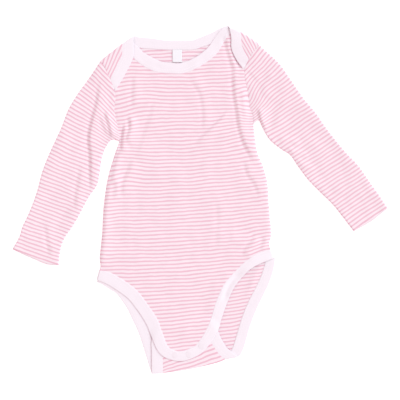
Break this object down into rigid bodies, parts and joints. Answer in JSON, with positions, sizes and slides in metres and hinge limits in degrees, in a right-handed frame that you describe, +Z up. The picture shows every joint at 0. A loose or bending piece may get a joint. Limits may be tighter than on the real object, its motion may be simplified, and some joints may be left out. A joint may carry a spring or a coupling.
{
  "type": "baby onesie",
  "caption": "Baby's long-sleeved bodysuit in fine pink and white stripes, laid flat on its back, with an envelope neck, white bound edges and a snapped crotch.",
  "frame": {"origin": "under the middle of the whole garment, on the surface it lies on", "axes": "+Z up out of that surface, +X across the garment from the sleeve at the left of the view to the other, +Y from the crotch towards the neck"},
  "size_m": [0.47, 0.4343, 0.0082],
  "materials": {
    "striped_jersey": "matte",
    "rib_binding": "matte",
    "label": "satin",
    "snap": "matte"
  },
  "bodies": {
    "root": {"back_panel": "striped_jersey", "front_panel": "striped_jersey", "sleeve_left": "striped_jersey", "sleeve_right": "striped_jersey", "leg_binding_back": "rib_binding", "leg_binding_front": "rib_binding", "neck_binding_back": "rib_binding", "neck_binding_front": "rib_binding", "label": "label", "snap_1": "snap", "snap_2": "snap", "snap_3": "snap"}
  },
  "joints": []
}
